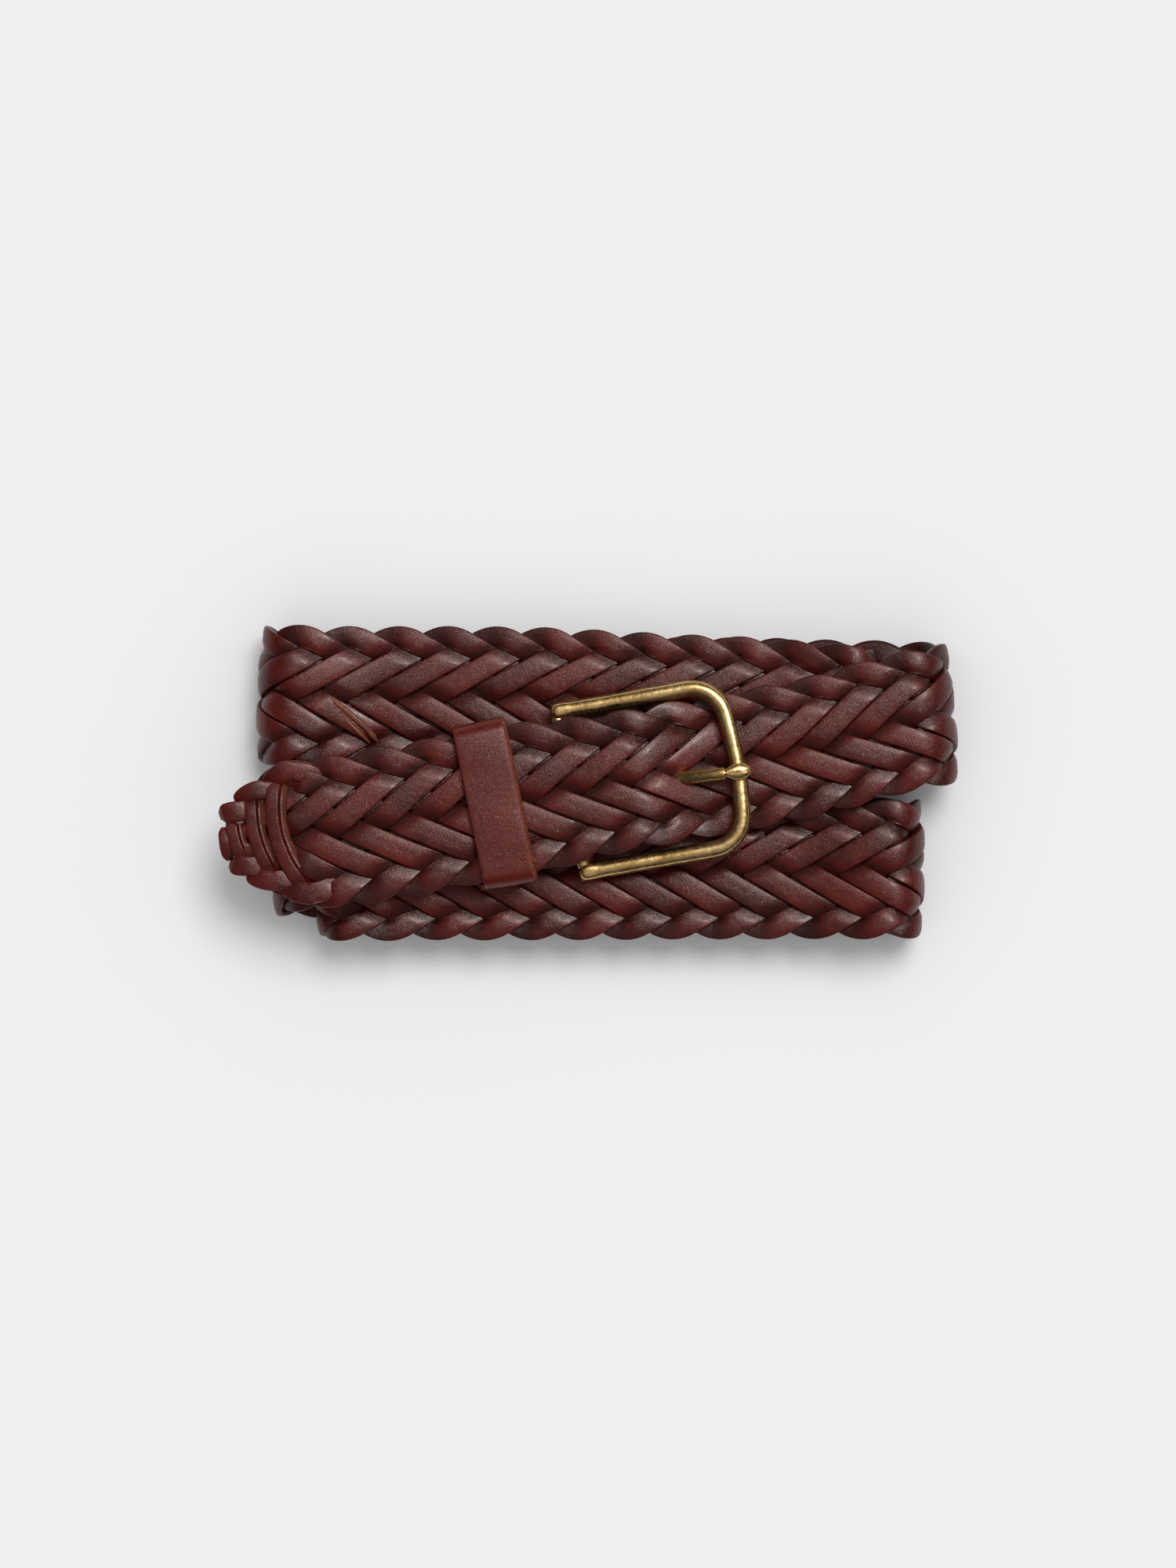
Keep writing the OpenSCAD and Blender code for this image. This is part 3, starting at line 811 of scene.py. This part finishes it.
def stitching():
    """Two rows of stitches, seen on both leaves of the chape."""
    row_y, first_x, spacing, half_length, stitch_r = 14.6, -5.6, 3.9, 1.45, 0.27
    verts, faces, offset = [], [], 0
    q = np.linspace(-1, 1, 9)
    for side in (-row_y, row_y):
        for i in range(10):
            for z in (-1, 1):
                skew = 0.22 * math.sin(i * 2.1 + side)
                pts = np.column_stack([first_x - i * spacing + q * half_length, side + skew * q,
                                       z * (LEAF_OUT + 0.26 - 0.5 * q ** 4)])
                radii = stitch_r * np.sqrt(np.clip(1 - (np.abs(q) / 1.02) ** 8, 0.03, 1))
                v, f = loft(tube(pts, radii))
                verts.append(v)
                faces += moved(f, offset)
                offset += len(v)
    ob = new_mesh("chape_thread", at_hinge(np.vstack(verts)), faces, THREAD_MAT, {})
    finish_piece(ob, "chape_stitching", "strap")


stitching()

# ---------------------------------------------------------------- buckle
BOW_DEG = 7.1                                      # half the front bar's slight bow
CY = ARM_Y - CORNER_R                              # a corner's centre
BOW_C, BOW_S = basis(BOW_DEG)
BOW_R = (CY + CORNER_R * BOW_S) / BOW_S
CX = REACH - BOW_R * (1 - BOW_C) - CORNER_R * BOW_C


def frame_path():
    """The rod's middle from one arm's end to the other's: x, y and the outward normal."""
    pts = [(x, ARM_Y, 0.0, 1.0) for x in np.linspace(-1.5, CX, 44)[:-1]]
    for a in np.linspace(90, BOW_DEG, 22)[:-1]:
        c, s = basis(a)
        pts.append((CX + CORNER_R * c, CY + CORNER_R * s, c, s))
    for a in np.linspace(BOW_DEG, 0, 12):
        c, s = basis(a)
        pts.append((REACH - BOW_R + BOW_R * c, BOW_R * s, c, s))
    low = [(x, -y, nx, -ny) for x, y, nx, ny in pts[:-1]][::-1]
    return np.array(pts + low)


def buckle():
    P = frame_path()
    n, m = len(P), 40
    th = circle(m)
    c, s = np.cos(th), np.sin(th)
    square = np.minimum((np.abs(c) ** 4 + np.abs(s) ** 4) ** (-0.25), 1.16) * 1.08
    # fine lines either side of the rounded top
    lines = (np.exp(-((th - math.radians(24)) / 0.10) ** 2)
             + 0.8 * np.exp(-((th - math.radians(156)) / 0.10) ** 2))
    seg = np.linalg.norm(np.diff(P[:, :2], axis=0), axis=1)
    seg = np.concatenate([[0], np.cumsum(seg)])
    rings = np.zeros((n, m, 3))
    groove = np.zeros((n, m))
    for i, (x, y, nx, ny) in enumerate(P):
        end = min(seg[i], seg[-1] - seg[i])
        # squared lug at the arm's end, round rod elsewhere
        k = 0.5 * soft((6.2 - end) / 3.4)
        cap = 0.30 + 0.70 * math.sqrt(max(0.0, 1 - (1 - min(1, end / 2.0)) ** 2))
        groove[i] = lines * (1 - k)
        r = ROD_D / 2 * mix(1.0, square, k)
        r = (r - 0.13 * groove[i] + 0.03 * math.sin(seg[i] * 0.31) * (1 - k)) * cap
        rings[i] = np.column_stack([x + nx * r * c, y + ny * r * c, r * s])
    verts, faces = loft(rings)
    ob = new_mesh("buckle_rod", at_hinge(verts, TILT), faces, BRASS_MAT, {"painted_shade_and_patina": groove})
    finish_piece(ob, "buckle_frame", "buckle")


buckle()


def hinge_bar():
    """A plain round bar, thinner in the arms' holes."""
    half = ARM_Y + ROD_D / 2 - 0.2
    q = np.concatenate([[-1, -0.995, -0.985], np.linspace(-0.96, 0.96, 30), [0.985, 0.995, 1]])
    in_arm = np.abs(q) * half > ARM_Y - ROD_D / 2 + 0.4
    radii = PIN_D / 2 * np.where(in_arm, 0.68, 1.0)
    a = circle(32)
    rings = [np.column_stack([r * np.cos(a), np.full(32, y), r * np.sin(a)])
             for r, y in zip(radii, q * half)]
    verts, faces = loft(np.array(rings))
    ob = new_mesh("hinge_pin", at_hinge(verts, TILT), faces, BRASS_MAT,
                  {"painted_shade_and_patina": np.zeros(len(verts))})
    finish_piece(ob, "hinge_bar", "buckle")


hinge_bar()


def prong_loop():
    """The prong's loop round the hinge bar: a closed ring with rounded edges."""
    inner, outer, half = PIN_D / 2 + 0.05, PIN_D / 2 + 1.6, 2.3
    section = []
    for a in circle(16):
        c, s = math.cos(a), math.sin(a)
        square = (abs(c) ** 6 + abs(s) ** 6) ** (-1 / 6)
        section.append(((inner + outer) / 2 + (outer - inner) / 2 * c * square, half * s * square))
    r, y = np.array(section).T
    rings = [np.column_stack([r * math.cos(a), y, r * math.sin(a)]) for a in circle(48)]
    return loft(np.array(rings), closed_path=True)


def prong():
    """A shank that comes up between the strands, an oval tip on the front bar, and a loop."""
    key = np.array([[2.6, -0.1], [8, -0.15], [14, -0.25], [19.5, -0.3], [23, 0.9], [27, 2.9],
                    [31, 4.9], [34.5, TIP_Z - 0.75], [37.2, TIP_Z - 0.05], [40, TIP_Z],
                    [45.3, TIP_Z - 0.05]])
    xs = np.concatenate([np.linspace(2.6, 37.2, 70), np.linspace(37.6, 45.25, 44)])
    # smooth the height with a moving average of the key line
    fine = np.linspace(2.6, 45.3, 600)
    window = np.hanning(61)
    height = np.pad(np.interp(fine, key[:, 0], key[:, 1]), 30, mode="edge")
    height = np.convolve(height, window / window.sum(), mode="valid")
    zs = np.interp(xs, fine, height)
    m = 36
    th = circle(m)
    c, s = np.cos(th), np.sin(th)
    keel = 1.0 - 0.10 * (s > 0) * np.abs(c) ** 0.5
    rings = np.zeros((len(xs), m, 3))
    groove = np.zeros((len(xs), m))
    for i, x in enumerate(xs):
        hw, hh = 1.72 - 0.10 * soft((x - 20) / 16), 1.45
        if x > 37.6:                               # oval tip
            e = math.sqrt(max(0.0, 1 - ((x - 42.0) / 3.3) ** 2))
            hw = mix(hw, 2.15 * max(e, 0.02), soft((x - 38.2) / 1.4))
            hh = mix(hh, 1.42 * max(e, 0.02), soft((x - 41.5) / 2.5))
        rings[i, :, 0] = x
        rings[i, :, 1] = hw * np.sign(c) * np.abs(c) ** 0.9
        rings[i, :, 2] = zs[i] + hh * s * keel
        if x > 38.6:                               # line along the tip, shallow step behind it
            line = np.exp(-((th - math.pi / 2) / 0.085) ** 2)
            line = line * soft((x - 38.8) / 0.6) * soft((45.0 - x) / 0.8)
            rim = np.exp(-((x - 38.7) / 0.22) ** 2) * (s > 0)
            rings[i, :, 2] -= 0.16 * line + 0.10 * rim
            groove[i] = np.clip(line + 0.8 * rim, 0, 1)
    cy, sy = basis(-3)                             # the shank lies a little askew
    X, Y = rings[..., 0].copy(), rings[..., 1].copy()
    rings[..., 0] = X * cy - Y * sy
    rings[..., 1] = X * sy + Y * cy
    verts, faces = loft(rings)
    loop_verts, loop_faces = prong_loop()
    ob = new_mesh("tongue_prong", at_hinge(np.vstack([verts, loop_verts])),
                  faces + moved(loop_faces, len(verts)), BRASS_MAT,
                  {"painted_shade_and_patina": np.concatenate([groove.ravel(), np.zeros(len(loop_verts))])})
    finish_piece(ob, "prong", "tongue")


prong()

# ---------------------------------------------------------------- floor, camera and light
lo, hi = cad_box
mid = Vector([(a + b) / 2 for a, b in zip(lo, hi)])
scene = bpy.context.scene

FLOOR_HALF, FLOOR_Z = 30.0, lo[2] - 0.0001
floor_mat = bpy.data.materials.new("floor")
floor_mat.use_nodes = True
floor_bsdf = floor_mat.node_tree.nodes["Principled BSDF"]
floor_bsdf.inputs["Base Color"].default_value = (0.92, 0.92, 0.92, 1)
floor_bsdf.inputs["Roughness"].default_value = 0.9
floor_bsdf.inputs["Specular IOR Level"].default_value = 0.1
floor_mesh = bpy.data.meshes.new("floor")
corners = [(x * FLOOR_HALF, y * FLOOR_HALF, FLOOR_Z) for x, y in ((-1, -1), (1, -1), (1, 1), (-1, 1))]
floor_mesh.from_pydata(corners, [], [(0, 1, 2, 3)])
floor_mesh.materials.append(floor_mat)
floor = bpy.data.objects.new("floor", floor_mesh)
scene.collection.objects.link(floor)

cam_data = bpy.data.cameras.new("camera")
cam_data.lens = 110
cam_data.sensor_width = 36
cam_data.sensor_fit = "AUTO"
cam_data.clip_start = 0.01
cam = bpy.data.objects.new("camera", cam_data)
# straight down, 1.198 m above the plait that the photo's size was read from
cam.location = (mid.x - 0.0008, mid.y - 0.00024, lo[2] + 0.018 + 1.198)
cam.rotation_euler = (0, 0, 0)
scene.collection.objects.link(cam)
scene.camera = cam

# a dim room with one large soft panel overhead, seen only in reflections
PANEL_DIR, PANEL_IN, PANEL_OUT = (0.10, 0.06, 1.0), 4, 60      # its middle and its soft edge, degrees
PANEL, AMBIENT = 0.40, 0.05
world = bpy.data.worlds.new("studio")
scene.world = world
world.use_nodes = True
world.cycles_visibility.diffuse = False
wn = world.node_tree
bg = wn.nodes["Background"]
sky = wn.nodes.new("ShaderNodeTexCoord")
dot = wn.nodes.new("ShaderNodeVectorMath")
dot.operation = "DOT_PRODUCT"
dot.inputs[1].default_value = Vector(PANEL_DIR).normalized()
wn.links.new(sky.outputs["Generated"], dot.inputs[0])
ramp = wn.nodes.new("ShaderNodeMapRange")
ramp.interpolation_type = "SMOOTHSTEP"
ramp.inputs["From Min"].default_value = math.cos(math.radians(PANEL_OUT))
ramp.inputs["From Max"].default_value = math.cos(math.radians(PANEL_IN))
ramp.inputs["To Min"].default_value = AMBIENT
ramp.inputs["To Max"].default_value = PANEL
wn.links.new(dot.outputs["Value"], ramp.inputs["Value"])
wn.links.new(ramp.outputs["Result"], bg.inputs["Strength"])
bg.inputs["Color"].default_value = (1, 1, 1, 1)


def sun(name, direction, strength, angle, diffuse=True, glossy=True):
    data = bpy.data.lights.new(name, "SUN")
    data.energy = strength
    data.angle = math.radians(angle)
    ob = bpy.data.objects.new(name, data)
    ob.rotation_euler = Vector(direction).to_track_quat("Z", "Y").to_euler()
    ob.visible_diffuse = diffuse
    ob.visible_glossy = glossy
    scene.collection.objects.link(ob)


sun("key", (0.26, 0.50, 1.0), 1.50, 30)
sun("fill", (0.0, 0.0, 1.0), 1.66, 140, glossy=False)
sun("sheen", (0.74, 0.50, 1.50), 1.8, 10, diffuse=False)

scene.view_settings.view_transform = "Standard"
scene.view_settings.look = "None"
scene.view_settings.exposure = 0.0
